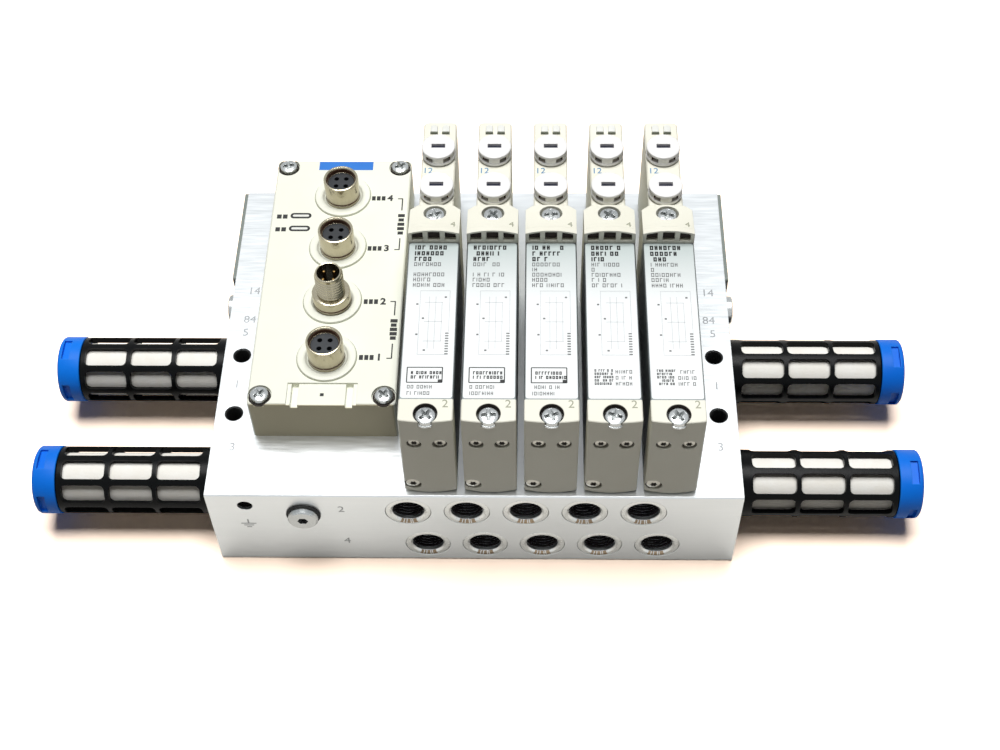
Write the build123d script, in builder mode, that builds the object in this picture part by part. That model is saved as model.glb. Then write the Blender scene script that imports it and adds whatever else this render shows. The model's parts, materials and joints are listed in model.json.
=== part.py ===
"""Pneumatic valve island: a drilled aluminium rail with five valves, a bus interface and four silencers.

The origin is the centre of the rail's bottom face. X runs along the rail, Y from the work
ports at the front to the pilots at the back, and Z up. All sizes are in millimetres.
"""
import os
from math import cos, radians, sin

from build123d import *

os.makedirs("parts", exist_ok=True)

# Rail
rail_length = 145.0
rail_depth = 111.1
rail_height = 33.1
rail_edge = 0.4
front_y = -rail_depth / 2
back_y = rail_depth / 2
end_x = rail_length / 2
running_fit = 0.05
thread_fit = 0.05

# Work ports 2 and 4 in the front face, one pair for each valve
valve_count = 5
valve_pitch = 16.0
first_valve_x = -11.3
port_2_shift = -6.6
port_4_shift = -2.0
port_2_drop = 7.8
port_2_z = rail_height - port_2_drop
port_4_z = 8.5
work_port_radius = 4.4
work_port_depth = 9.0
work_seat_radius = 6.3
work_seat_depth = 0.5
work_drill_radius = 2.6
work_drill_depth = 11.0

# Supply channel 1 and exhaust channels 3 and 5, drilled from end to end
main_z = 15.0
exhaust_3_setback = 16.5
supply_setback = 37.0
exhaust_5_setback = 55.7
exhaust_3_y = front_y + exhaust_3_setback
supply_y = front_y + supply_setback
exhaust_5_y = front_y + exhaust_5_setback
main_channel_radius = 5.0
end_port_radius = 5.8
end_port_depth = 13.0

# Pilot channels 14 and 84, and the channel that holds the wiring
pilot_14_setback = 71.0
pilot_14_drop = 8.1
pilot_14_y = front_y + pilot_14_setback
pilot_14_z = rail_height - pilot_14_drop
pilot_84_setback = 66.5
pilot_84_y = front_y + pilot_84_setback
pilot_84_z = 6.0
pilot_channel_radius = 1.6
plug_thread_radius = 2.5
plug_thread_depth = 6.0
wire_channel_wall = 5.1
wire_channel_roof = 6.6
wire_channel_back = back_y - wire_channel_wall
wire_channel_bottom = 6.0
wire_channel_top = rail_height - wire_channel_roof
wire_channel_corner = 2.0

# Vertical mounting holes, the earth hole and the plugged hole in the front face
mount_span_x = 134.8
mount_span_y = 20.3
mount_setback = 37.15
mount_centre_y = front_y + mount_setback
mount_hole_radius = 2.2
mount_sink_radius = 2.6
mount_sink_angle = 90.0
earth_x = -62.1
earth_drop = 5.1
earth_z = rail_height - earth_drop
earth_radius = 2.1
earth_depth = 8.0
front_plug_x = -46.6
front_plug_drop = 9.3
front_plug_z = rail_height - front_plug_drop

# Plugs
plug_head_radius = 4.1
plug_head_height = 2.3
plug_head_edge = 0.4
plug_shank = 5.5
hex_socket = 2.6
hex_depth = 1.5
set_screw_length = 4.5

# Valves
valve_width = 14.0
valve_height = 33.2
valve_top = rail_height + valve_height
seal_thickness = 0.5
seal_inset = 0.8
valve_bottom = rail_height + seal_thickness
cover_setback = 1.87
body_setback = 8.4
body_length = 52.7
cover_front_y = front_y + cover_setback
body_front_y = front_y + body_setback
body_back_y = body_front_y + body_length
body_edge = 0.3
cover_bow = 0.6
cover_sag = 0.5
cover_corner = 0.6
cover_edge = 0.25

# Rear cover, a sloping hood with three vent windows
hood_length = 12.1
hood_back_y = body_back_y + hood_length
hood_front_edge = 3.75
hood_front_rise = 1.25
hood_back_edge = 1.6
hood_back_rise = 0.6
hood_bevel_width = 2.1
hood_bevel_length = 1.7
window_bottom = 1.0
window_roof = 0.55
window_outer = 6.05
window_post_outer = 3.0
window_centre = 1.65
window_depth = 3.0

# Screws that hold a valve on the rail
front_screw_setback = 3.95
rear_screw_inset = 3.8
front_screw_y = front_y + front_screw_setback
rear_screw_y = hood_back_y - rear_screw_inset
screw_radius = 1.5
screw_clearance = 0.15
screw_head_radius = 2.55
screw_head_height = 1.9
screw_thread_depth = 5.0
screw_crown = 0.5
cover_bore_radius = 3.15
cover_bore_depth = 2.3
rear_bore_depth = 1.0
thread_run_out = 0.3

# Small screws in the front cover
small_screw_radius = 0.9
small_head_radius = 1.65
small_head_height = 0.9
small_bore_radius = 1.95
low_head_radius = 2.0
low_bore_radius = 2.25
small_bore_depth = 0.9
small_screw_reach = 4.0
upper_pair_x = 3.3
upper_pair_rise = 23.0
upper_pair_z = rail_height + upper_pair_rise
low_screw_x = -4.6
low_screw_rise = 3.9
low_screw_z = rail_height + low_screw_rise

# Pilot housing with two manual overrides
pilot_width = 9.6
pilot_length = 34.6
pilot_back_y = hood_back_y + pilot_length
pilot_corner = 1.4
pilot_edge = 0.4
override_inset = 6.6
override_pitch = 14.8
override_14_y = hood_back_y + override_inset
override_12_y = override_14_y + override_pitch
cap_radius = 4.8
cap_height = 3.6
cap_roof = 1.0
cap_edge = 0.25
well_gap = 0.25
well_depth = 1.2
stem_radius = 1.8
stem_head_radius = 2.6
stem_head_bottom = 0.3
stem_length = 8.0
push_travel = 1.0
bore_run_out = 0.3
slot_length = 3.9
slot_width = 1.5
pocket_angle = 33.5
pocket_width = 2.1
pocket_depth = 1.3
pocket_bottom = 1.3
pocket_top = 3.0

# Small lamp windows at the back of each pilot housing
lamp_x = 1.7
lamp_inset = 3.2
lamp_y = pilot_back_y - lamp_inset
lamp_width = 2.0
lamp_length = 2.6
lamp_rise = 0.7
lamp_sink = 0.8
lamp_edge = 0.45
lamp_fit = 0.05

# Bus interface
interface_width = 40.2
interface_setback = 19.5
interface_margin = 1.1
interface_length = rail_depth - interface_setback - interface_margin
interface_height = 15.0
interface_x = -41.0
interface_front_y = front_y + interface_setback
interface_corner = 1.2
interface_edge = 0.4
interface_top = rail_height + interface_height
interface_y = interface_front_y + interface_length / 2
pad_radius = 3.3
pad_drop = 1.0
pad_inset_x = 3.3
pad_inset_y = 3.0
interface_head_radius = 2.5
interface_head_height = 1.9
socket_count = 4
socket_offset = 0.4
socket_x = interface_x + socket_offset
first_socket_inset = 15.8
last_socket_inset = 14.7
socket_span = interface_length - first_socket_inset - last_socket_inset
socket_pitch = socket_span / (socket_count - 1)
first_socket_y = interface_front_y + first_socket_inset
plug_place = 1
ring_radius = 8.1
ring_hole_radius = 5.9
ring_height = 0.6
ring_edge = 0.25
light_offset = 11.4
light_x = interface_x - light_offset
light_place = 2
light_lead = 7.2
light_first_y = first_socket_y + light_place * socket_pitch + light_lead
light_pitch = 5.0
light_length = 5.5
light_width = 1.45
light_depth = 1.0
light_fit = 0.05
label_width = 19.0
label_length = 7.2
label_depth = 0.5
label_groove = 2.0
label_groove_depth = 1.2
label_groove_inset = 2.1
label_eye = 1.0

# Round connectors on the interface
shell_radius = 5.05
shell_bore_radius = 4.15
shell_seat_radius = 3.9
shell_shoulder_drop = 1.8
shell_height = 7.7
shell_sink = 2.5
shell_groove_low = 0.8
shell_groove_high = 1.4
shell_groove_depth = 0.35
shell_edge = 0.3
insert_drop = 1.8
insert_fit = 0.05
contact_radius = 0.6
contact_ring = 2.0
contact_depth = 2.5
collar_radius = 5.4
collar_height = 4.4
plug_radius = 4.0
plug_height = 12.6
plug_bore_radius = 3.2
plug_floor = 4.5
pin_radius = 0.5
pin_top_drop = 1.2

# Silencers in exhaust ports 3 and 5 at both ends
cage_radius = 9.44
cage_wall = 1.6
cage_length = 44.9
cage_floor = 1.9
cage_edge = 0.4
cage_collar = 4.35
cage_rim = 1.6
window_columns = 3
window_web = 1.2
window_span = cage_length - cage_collar - cage_rim
window_length = (window_span - (window_columns - 1) * window_web) / window_columns
window_angle = 34.0
window_radius = 1.4
window_rows = 8
stub_length = 11.0
stub_bore_radius = 3.6
filter_fit = 0.2
filter_wall = 2.4
end_cap_radius = 9.65
end_cap_length = 7.5
end_cap_dome = 0.9
end_cap_rim = 0.7
spigot_length = 1.4
spigot_fit = 0.1
notch_length = 6.8
notch_width = 2.2
notch_depth = 1.3
notch_inset = 2.2
notch_count = 4

# Angle at which each silencer comes to rest when it is screwed in
cage_turns = {"3_right": 11.0, "3_left": 30.0, "5_right": 14.0, "5_left": 32.0}
cap_turns = {"3_right": 78.0, "3_left": 6.0, "5_right": 83.0, "5_left": 2.0}

# Plates that close the wiring channel at both ends of the rail
end_plate_thickness = 1.0
end_plate_gap = 0.9
end_plate_lap = 4.0
end_plate_margin = 0.5
end_plate_front = pilot_14_y + plug_head_radius + end_plate_gap
end_plate_back = back_y - end_plate_margin
wire_channel_front = end_plate_front + end_plate_lap
end_plate_bottom = 2.0
end_plate_corner = 0.8
end_plate_screw_inset = 2.2
end_plate_screw_z = 17.0

valve_x = [first_valve_x + valve_pitch * i for i in range(valve_count)]
small_screw_places = [
    (-upper_pair_x, upper_pair_z),
    (upper_pair_x, upper_pair_z),
    (low_screw_x, low_screw_z),
]
front_face = Plane.XZ.offset(-front_y)
pad_x = interface_width / 2 - pad_inset_x
pad_y = interface_length / 2 - pad_inset_y
socket_y = [first_socket_y + socket_pitch * i for i in range(socket_count)]
cage_bore_radius = cage_radius - cage_wall
end_plate_middle = (end_plate_front + end_plate_back) / 2
end_plate_width = end_plate_back - end_plate_front
end_screw_y = end_plate_width / 2 - end_plate_screw_inset
wire_middle_y = (wire_channel_front + wire_channel_back) / 2
wire_middle_z = (wire_channel_bottom + wire_channel_top) / 2


def save(part, name):
    """Label a finished piece and write it as its own file."""
    part.label = name
    export_step(part, f"parts/{name}.step")


# Drilled aluminium rail
with BuildPart() as rail:
    Box(rail_length, rail_depth, rail_height, align=(Align.CENTER, Align.CENTER, Align.MIN))
    chamfer(rail.edges().filter_by(Axis.X), rail_edge)
    with BuildSketch(Plane.YZ.offset(-end_x)):
        with Locations((exhaust_3_y, main_z), (supply_y, main_z), (exhaust_5_y, main_z)):
            Circle(main_channel_radius)
        with Locations((pilot_14_y, pilot_14_z), (pilot_84_y, pilot_84_z)):
            Circle(pilot_channel_radius)
        with Locations((wire_middle_y, wire_middle_z)):
            RectangleRounded(
                wire_channel_back - wire_channel_front,
                wire_channel_top - wire_channel_bottom,
                wire_channel_corner,
            )
    extrude(amount=rail_length, mode=Mode.SUBTRACT)
    for side in (-1, 1):
        with BuildSketch(Plane.YZ.offset(side * end_x)):
            with Locations((exhaust_3_y, main_z), (supply_y, main_z), (exhaust_5_y, main_z)):
                Circle(end_port_radius)
        extrude(amount=-side * end_port_depth, mode=Mode.SUBTRACT)
        with BuildSketch(Plane.YZ.offset(side * end_x)):
            with Locations((pilot_14_y, pilot_14_z), (pilot_84_y, pilot_84_z)):
                Circle(plug_thread_radius)
        extrude(amount=-side * plug_thread_depth, mode=Mode.SUBTRACT)
        with BuildSketch(Plane.YZ.offset(side * end_x)):
            with Locations((end_plate_middle, end_plate_screw_z)):
                with GridLocations(2 * end_screw_y, 0, 2, 1):
                    Circle(small_screw_radius + thread_fit)
        extrude(amount=-side * (small_screw_reach + thread_run_out), mode=Mode.SUBTRACT)
    with Locations(front_face):
        with Locations(*[(x + port_2_shift, port_2_z) for x in valve_x]):
            CounterBoreHole(work_port_radius, work_seat_radius, work_seat_depth, work_port_depth)
        with Locations(*[(x + port_4_shift, port_4_z) for x in valve_x]):
            CounterBoreHole(work_port_radius, work_seat_radius, work_seat_depth, work_port_depth)
        with Locations(*[(x + port_2_shift, port_2_z) for x in valve_x]):
            Hole(work_drill_radius, work_drill_depth)
        with Locations(*[(x + port_4_shift, port_4_z) for x in valve_x]):
            Hole(work_drill_radius, work_drill_depth)
        with Locations((earth_x, earth_z)):
            Hole(earth_radius, earth_depth)
        with Locations((front_plug_x, front_plug_z)):
            Hole(plug_thread_radius, plug_thread_depth)
    with Locations((0, mount_centre_y, rail_height)):
        with GridLocations(mount_span_x, mount_span_y, 2, 2):
            CounterSinkHole(mount_hole_radius, mount_sink_radius, rail_height, mount_sink_angle)
    with Locations(*[(x, y, rail_height) for x in valve_x for y in (front_screw_y, rear_screw_y)]):
        Hole(screw_radius + thread_fit, screw_thread_depth + thread_run_out)
    with Locations((interface_x, interface_y, rail_height)):
        with GridLocations(2 * pad_x, 2 * pad_y, 2, 2):
            Hole(screw_radius + thread_fit, screw_thread_depth + thread_run_out)
save(rail.part, "manifold_rail")

# Valve body, an aluminium block between its two covers
with BuildPart() as valve_body:
    with BuildSketch(Plane.XY.offset(valve_bottom)):
        with Locations((0, (body_front_y + body_back_y) / 2)):
            Rectangle(valve_width, body_back_y - body_front_y)
    extrude(amount=valve_top - valve_bottom)
    chamfer(valve_body.edges().filter_by(Axis.Y), body_edge)
    with Locations(Plane.XZ.offset(-body_front_y)):
        with Locations(*small_screw_places):
            Hole(small_screw_radius + thread_fit, small_screw_reach + thread_run_out)

# Front cover with a bowed face and a counterbore that breaks through it
with BuildPart() as front_cover:
    with BuildSketch(Plane.XY.offset(valve_bottom)) as cover_plan:
        with BuildLine():
            face = ThreePointArc(
                (-valve_width / 2, cover_front_y),
                (0, cover_front_y - cover_bow),
                (valve_width / 2, cover_front_y),
            )
            Polyline(
                face @ 1, (valve_width / 2, body_front_y), (-valve_width / 2, body_front_y), face @ 0
            )
        make_face()
        fillet(cover_plan.vertices().group_by(Axis.Y)[0], cover_corner)
    extrude(amount=valve_top - valve_bottom)
    with BuildSketch(Plane.XZ.offset(-body_front_y)):
        with BuildLine():
            foot = ThreePointArc(
                (-valve_width / 2, valve_bottom + cover_sag),
                (0, valve_bottom),
                (valve_width / 2, valve_bottom + cover_sag),
            )
            Polyline(foot @ 1, (valve_width / 2, valve_top), (-valve_width / 2, valve_top), foot @ 0)
        make_face()
    extrude(amount=body_front_y - cover_front_y + 2 * cover_bow, mode=Mode.INTERSECT)
    chamfer(front_cover.faces().sort_by(Axis.Z)[-1].edges().sort_by(Axis.Y)[:-1], cover_edge)
    with Locations((0, front_screw_y, valve_top)):
        CounterBoreHole(
            screw_radius + screw_clearance, cover_bore_radius, cover_bore_depth, valve_height
        )
    with Locations(Plane.XZ.offset(cover_bow - cover_front_y)):
        with Locations(*small_screw_places[:2]):
            Hole(small_bore_radius, cover_bow + small_bore_depth)
        with Locations(small_screw_places[2]):
            Hole(low_bore_radius, cover_bow + small_bore_depth)
        with Locations(*small_screw_places):
            Hole(small_screw_radius + screw_clearance, 2 * cover_bow + body_front_y - cover_front_y)

# Rear cover: an upright block under a sloping hood, with bevelled back corners
with BuildPart() as rear_cover:
    with BuildSketch(Plane.XY.offset(valve_bottom)) as rear_plan:
        with BuildLine():
            Polyline(
                (-valve_width / 2, body_back_y),
                (valve_width / 2, body_back_y),
                (valve_width / 2, hood_back_y - hood_bevel_length),
                (valve_width / 2 - hood_bevel_width, hood_back_y),
                (hood_bevel_width - valve_width / 2, hood_back_y),
                (-valve_width / 2, hood_back_y - hood_bevel_length),
                close=True,
            )
        make_face()
    extrude(amount=valve_top + hood_front_edge + hood_front_rise - valve_bottom)
    for y, edge, rise in (
        (body_back_y, hood_front_edge, hood_front_rise),
        (hood_back_y, hood_back_edge, hood_back_rise),
    ):
        with BuildSketch(Plane.XZ.offset(-y)):
            with BuildLine():
                roof = ThreePointArc(
                    (-valve_width / 2, valve_top + edge),
                    (0, valve_top + edge + rise),
                    (valve_width / 2, valve_top + edge),
                )
                Polyline(
                    roof @ 1, (valve_width / 2, valve_bottom), (-valve_width / 2, valve_bottom), roof @ 0
                )
            make_face()
    loft(mode=Mode.INTERSECT)
    with BuildSketch(Plane.XZ.offset(-body_back_y)):
        with BuildLine():
            lintel = ThreePointArc(
                (-valve_width / 2, valve_top + hood_front_edge - window_roof),
                (0, valve_top + hood_front_edge + hood_front_rise - window_roof),
                (valve_width / 2, valve_top + hood_front_edge - window_roof),
            )
            Polyline(
                lintel @ 1,
                (valve_width / 2, valve_top + window_bottom),
                (-valve_width / 2, valve_top + window_bottom),
                lintel @ 0,
            )
        make_face()
        with BuildSketch(mode=Mode.PRIVATE) as panes:
            with Locations((0, valve_top)):
                Rectangle(2 * window_centre, 2 * valve_width)
            for side in (-1, 1):
                with Locations((side * (window_post_outer + window_outer) / 2, valve_top)):
                    Rectangle(window_outer - window_post_outer, 2 * valve_width)
        add(panes.sketch, mode=Mode.INTERSECT)
    extrude(amount=-window_depth, mode=Mode.SUBTRACT)
    with Locations((0, rear_screw_y, valve_top + hood_back_edge)):
        CounterBoreHole(
            screw_radius + screw_clearance,
            cover_bore_radius,
            rear_bore_depth,
            valve_height + hood_front_edge,
        )

# Pilot housing with a well and a guide bore for each manual override
with BuildPart() as pilot_housing:
    with BuildSketch(Plane.XY.offset(valve_bottom)):
        with Locations((0, (hood_back_y + pilot_back_y) / 2)):
            Rectangle(pilot_width, pilot_back_y - hood_back_y)
    extrude(amount=valve_top - valve_bottom)
    fillet(pilot_housing.edges().filter_by(Axis.Z).group_by(Axis.Y)[-1], pilot_corner)
    chamfer(pilot_housing.faces().sort_by(Axis.Z)[-1].edges().sort_by(Axis.Y)[1:], pilot_edge)
    with Locations((0, override_14_y, valve_top), (0, override_12_y, valve_top)):
        CounterBoreHole(
            stem_radius + running_fit,
            cap_radius + well_gap,
            well_depth,
            stem_length + push_travel + bore_run_out,
        )
    with BuildSketch(Plane.XY.offset(valve_top - lamp_sink)):
        with Locations((-lamp_x, lamp_y), (lamp_x, lamp_y)):
            Rectangle(lamp_width + 2 * lamp_fit, lamp_length + 2 * lamp_fit)
    extrude(amount=lamp_sink, mode=Mode.SUBTRACT)

# Blue override stem: a guided shaft whose head shows through the cap's slot
with BuildPart() as override_stem:
    with BuildSketch(Plane.XY.offset(valve_top - stem_length)):
        Circle(stem_radius)
    extrude(amount=stem_length + stem_head_bottom)
    with BuildSketch(Plane.XY.offset(valve_top + stem_head_bottom)):
        Circle(stem_head_radius)
    extrude(amount=cap_height - cap_roof - stem_head_bottom)

# White override cap with a driver slot and four grip pockets
with BuildPart() as override_cap:
    with BuildSketch(Plane.XY.offset(valve_top)):
        Circle(cap_radius)
    extrude(amount=cap_height)
    chamfer(override_cap.edges().group_by(Axis.Z)[-1], cap_edge)
    with BuildSketch(Plane.XY.offset(valve_top)):
        Circle(stem_head_radius + running_fit)
    extrude(amount=cap_height - cap_roof, mode=Mode.SUBTRACT)
    with BuildSketch(Plane.XY.offset(valve_top + cap_height)):
        Rectangle(slot_length, slot_width)
    extrude(amount=-cap_roof, mode=Mode.SUBTRACT)
    pocket_middle = valve_top + (pocket_bottom + pocket_top) / 2
    for facing in (90, 270):
        for turn in (-pocket_angle, pocket_angle):
            with Locations(Location((0, 0, pocket_middle), (0, 0, facing + turn))):
                with Locations((cap_radius, 0)):
                    Box(2 * pocket_depth, pocket_width, pocket_top - pocket_bottom, mode=Mode.SUBTRACT)

for number, x in enumerate(valve_x, start=1):
    save(valve_body.part.moved(Location((x, 0, 0))), f"valve_body_{number}")
    save(front_cover.part.moved(Location((x, 0, 0))), f"front_cover_{number}")
    save(rear_cover.part.moved(Location((x, 0, 0))), f"rear_cover_{number}")
    save(pilot_housing.part.moved(Location((x, 0, 0))), f"pilot_housing_{number}")
    for coil, y in ((14, override_14_y), (12, override_12_y)):
        save(override_stem.part.moved(Location((x, y, 0))), f"override_stem_{coil}_{number}")
        save(override_cap.part.moved(Location((x, y, 0))), f"override_cap_{coil}_{number}")

# Flat seals between the valves and the rail
with BuildPart() as valve_seals:
    with BuildSketch(Plane.XY.offset(rail_height)):
        with Locations(*[(x, (body_front_y + body_back_y) / 2) for x in valve_x]):
            Rectangle(valve_width - 2 * seal_inset, body_back_y - body_front_y - 2 * seal_inset)
    extrude(amount=seal_thickness)
save(valve_seals.part, "valve_seals")

# Screw through a valve's cover into the rail, measured down from the seat of its head
front_seat_z = valve_top - cover_bore_depth
rear_seat_z = valve_top + hood_back_edge - rear_bore_depth
with BuildPart() as valve_screws:
    for seat_z, y in ((front_seat_z, front_screw_y), (rear_seat_z, rear_screw_y)):
        with BuildSketch(Plane.XY.offset(seat_z)):
            with Locations(*[(x, y) for x in valve_x]):
                Circle(screw_head_radius)
        extrude(amount=screw_head_height)
    chamfer(valve_screws.faces().filter_by(Axis.Z).group_by(Axis.Z)[-1].edges(), screw_crown)
    chamfer(valve_screws.faces().filter_by(Axis.Z).group_by(Axis.Z)[-2].edges(), screw_crown)
    for seat_z, y in ((front_seat_z, front_screw_y), (rear_seat_z, rear_screw_y)):
        with BuildSketch(Plane.XY.offset(seat_z)):
            with Locations(*[(x, y) for x in valve_x]):
                Circle(screw_radius)
        extrude(amount=rail_height - screw_thread_depth - seat_z)
save(valve_screws.part, "valve_screws")

# Small screws in the front covers and the end plates
head_seat_y = cover_front_y + small_bore_depth
with BuildPart() as cover_screws:
    with BuildSketch(Plane.XZ.offset(-head_seat_y)):
        with Locations(*[(x + s * upper_pair_x, upper_pair_z) for x in valve_x for s in (-1, 1)]):
            Circle(small_head_radius)
        with Locations(*[(x + low_screw_x, low_screw_z) for x in valve_x]):
            Circle(low_head_radius)
    extrude(amount=small_head_height)
    with BuildSketch(Plane.XZ.offset(-head_seat_y)):
        with Locations(*[(x + s * upper_pair_x, upper_pair_z) for x in valve_x for s in (-1, 1)]):
            Circle(small_screw_radius)
        with Locations(*[(x + low_screw_x, low_screw_z) for x in valve_x]):
            Circle(small_screw_radius)
    extrude(amount=head_seat_y - body_front_y - small_screw_reach)
    for side in (-1, 1):
        seat = Plane.YZ.offset(side * (end_x + end_plate_thickness))
        with BuildSketch(seat):
            with Locations((end_plate_middle, end_plate_screw_z)):
                with GridLocations(2 * end_screw_y, 0, 2, 1):
                    Circle(small_head_radius)
        extrude(amount=side * small_head_height)
        with BuildSketch(seat):
            with Locations((end_plate_middle, end_plate_screw_z)):
                with GridLocations(2 * end_screw_y, 0, 2, 1):
                    Circle(small_screw_radius)
        extrude(amount=-side * (end_plate_thickness + small_screw_reach))
save(cover_screws.part, "cover_screws")

# Thin plates that close the wiring channel
with BuildPart() as end_plates:
    for side in (-1, 1):
        with BuildSketch(Plane.YZ.offset(side * end_x)):
            with Locations((end_plate_middle, (end_plate_bottom + rail_height) / 2)):
                RectangleRounded(end_plate_width, rail_height - end_plate_bottom, end_plate_corner)
            with Locations((end_plate_middle, end_plate_screw_z)):
                with GridLocations(2 * end_screw_y, 0, 2, 1):
                    Circle(small_screw_radius + screw_clearance, mode=Mode.SUBTRACT)
        extrude(amount=side * end_plate_thickness)
save(end_plates.part, "end_plates")

# Plug with a hex socket, built along +Z with its head's seat at zero
with BuildPart() as plug:
    with BuildSketch():
        Circle(plug_head_radius)
    extrude(amount=plug_head_height)
    chamfer(plug.edges().group_by(Axis.Z)[-1], plug_head_edge)
    with BuildSketch():
        Circle(plug_thread_radius - thread_fit)
    extrude(amount=-plug_shank)
    with BuildSketch(Plane.XY.offset(plug_head_height)):
        RegularPolygon(hex_socket / 2, 6, major_radius=False)
    extrude(amount=-hex_depth, mode=Mode.SUBTRACT)

# Headless set screw, sunk flush in its port
with BuildPart() as set_screw:
    with BuildSketch():
        Circle(plug_thread_radius - thread_fit)
    extrude(amount=-set_screw_length)
    with BuildSketch():
        RegularPolygon(hex_socket / 2, 6, major_radius=False)
    extrude(amount=-hex_depth, mode=Mode.SUBTRACT)

with BuildPart() as port_plugs:
    with Locations(front_face):
        with Locations((front_plug_x, front_plug_z)):
            add(plug.part)
    for side in (-1, 1):
        with Locations(Plane((side * end_x, 0, 0), x_dir=(0, 1, 0), z_dir=(side, 0, 0))):
            with Locations((pilot_14_y, side * pilot_14_z)):
                add(plug.part)
            with Locations((pilot_84_y, side * pilot_84_z)):
                add(set_screw.part)
save(port_plugs.part, "port_plugs")

# Moulded housing of the bus interface
with BuildPart() as interface_housing:
    with BuildSketch(Plane.XY.offset(rail_height)):
        with Locations((interface_x, interface_y)):
            RectangleRounded(interface_width, interface_length, interface_corner)
    extrude(amount=interface_height)
    chamfer(interface_housing.edges().group_by(Axis.Z)[-1], interface_edge)
    with BuildSketch(Plane.XY.offset(interface_top)):
        with Locations((interface_x, interface_y)):
            with GridLocations(2 * pad_x, 2 * pad_y, 2, 2):
                Circle(pad_radius)
    extrude(amount=-pad_drop, mode=Mode.SUBTRACT)
    with Locations((interface_x, interface_y, interface_top - pad_drop)):
        with GridLocations(2 * pad_x, 2 * pad_y, 2, 2):
            Hole(screw_radius + screw_clearance, interface_height)
    with BuildSketch(Plane.XY.offset(interface_top)):
        with Locations(*[(socket_x, y) for y in socket_y]):
            Circle(ring_radius)
            Circle(ring_hole_radius, mode=Mode.SUBTRACT)
    extrude(amount=ring_height)
    chamfer(interface_housing.faces().filter_by(Axis.Z).group_by(Axis.Z)[-1].edges(), ring_edge)
    with BuildSketch(Plane.XY.offset(interface_top)):
        for place, y in enumerate(socket_y):
            with Locations((socket_x, y)):
                Circle((collar_radius if place == plug_place else shell_radius) + insert_fit)
    extrude(amount=-shell_sink, mode=Mode.SUBTRACT)
    with BuildSketch(Plane.XY.offset(interface_top)):
        with Locations((light_x, light_first_y), (light_x, light_first_y + light_pitch)):
            SlotOverall(light_length + 2 * light_fit, light_width + 2 * light_fit)
    extrude(amount=-light_depth, mode=Mode.SUBTRACT)
    with BuildSketch(Plane.XY.offset(interface_top)):
        with Locations((interface_x, interface_front_y + label_length / 2)):
            Rectangle(label_width, label_length)
    extrude(amount=-label_depth, mode=Mode.SUBTRACT)
    with BuildSketch(Plane.XY.offset(interface_top - label_depth)):
        with Locations((interface_x, interface_front_y + label_length / 2)):
            with GridLocations(label_width - 2 * label_groove_inset, 0, 2, 1):
                Rectangle(label_groove, label_length)
            Rectangle(label_eye, label_eye)
    extrude(amount=-label_groove_depth, mode=Mode.SUBTRACT)
save(interface_housing.part, "interface_housing")

# Screws that hold the interface on the rail
pad_z = interface_top - pad_drop
with BuildPart() as interface_screws:
    with BuildSketch(Plane.XY.offset(pad_z)):
        with Locations((interface_x, interface_y)):
            with GridLocations(2 * pad_x, 2 * pad_y, 2, 2):
                Circle(interface_head_radius)
    extrude(amount=interface_head_height)
    chamfer(interface_screws.edges().group_by(Axis.Z)[-1], screw_crown)
    with BuildSketch(Plane.XY.offset(pad_z)):
        with Locations((interface_x, interface_y)):
            with GridLocations(2 * pad_x, 2 * pad_y, 2, 2):
                Circle(screw_radius)
    extrude(amount=rail_height - screw_thread_depth - pad_z)
save(interface_screws.part, "interface_screws")

# Light pipes: two bars in the interface and two small lenses on each pilot housing
with BuildPart() as light_pipes:
    with BuildSketch(Plane.XY.offset(interface_top - light_depth)):
        with Locations((light_x, light_first_y), (light_x, light_first_y + light_pitch)):
            SlotOverall(light_length, light_width)
    extrude(amount=light_depth)
    with BuildSketch(Plane.XY.offset(valve_top - lamp_sink)):
        with Locations(*[(x + s * lamp_x, lamp_y) for x in valve_x for s in (-1, 1)]):
            Rectangle(lamp_width, lamp_length)
    extrude(amount=lamp_sink + lamp_rise)
    chamfer(light_pipes.faces().filter_by(Axis.Z).group_by(Axis.Z)[-1].edges(), lamp_edge)
save(light_pipes.part, "light_pipes")

# Turned connector shells: three sockets, each with a shoulder round its contact carrier, and one plug
with BuildPart() as socket_shell:
    with BuildSketch(Plane.XZ):
        with BuildLine():
            Polyline(
                (shell_seat_radius, -shell_sink),
                (shell_radius, -shell_sink),
                (shell_radius, shell_groove_low),
                (shell_radius - shell_groove_depth, shell_groove_low),
                (shell_radius - shell_groove_depth, shell_groove_high),
                (shell_radius, shell_groove_high),
                (shell_radius, shell_height - shell_edge),
                (shell_radius - shell_edge, shell_height),
                (shell_bore_radius + shell_edge, shell_height),
                (shell_bore_radius, shell_height - shell_edge),
                (shell_bore_radius, shell_height - shell_shoulder_drop),
                (shell_seat_radius, shell_height - shell_shoulder_drop),
                close=True,
            )
        make_face()
    revolve(axis=Axis.Z)

with BuildPart() as plug_shell:
    with BuildSketch(Plane.XZ):
        with BuildLine():
            Polyline(
                (plug_bore_radius, -shell_sink),
                (collar_radius, -shell_sink),
                (collar_radius, shell_groove_low),
                (collar_radius - shell_groove_depth, shell_groove_low),
                (collar_radius - shell_groove_depth, shell_groove_high),
                (collar_radius, shell_groove_high),
                (collar_radius, collar_height - shell_edge),
                (collar_radius - shell_edge, collar_height),
                (plug_radius, collar_height),
                (plug_radius, plug_height - shell_edge),
                (plug_radius - shell_edge, plug_height),
                (plug_bore_radius, plug_height),
                close=True,
            )
        make_face()
    revolve(axis=Axis.Z)

with BuildPart() as connector_shells:
    for place, y in enumerate(socket_y):
        with Locations((socket_x, y, interface_top)):
            add(plug_shell.part if place == plug_place else socket_shell.part)
save(connector_shells.part, "connector_shells")

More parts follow.
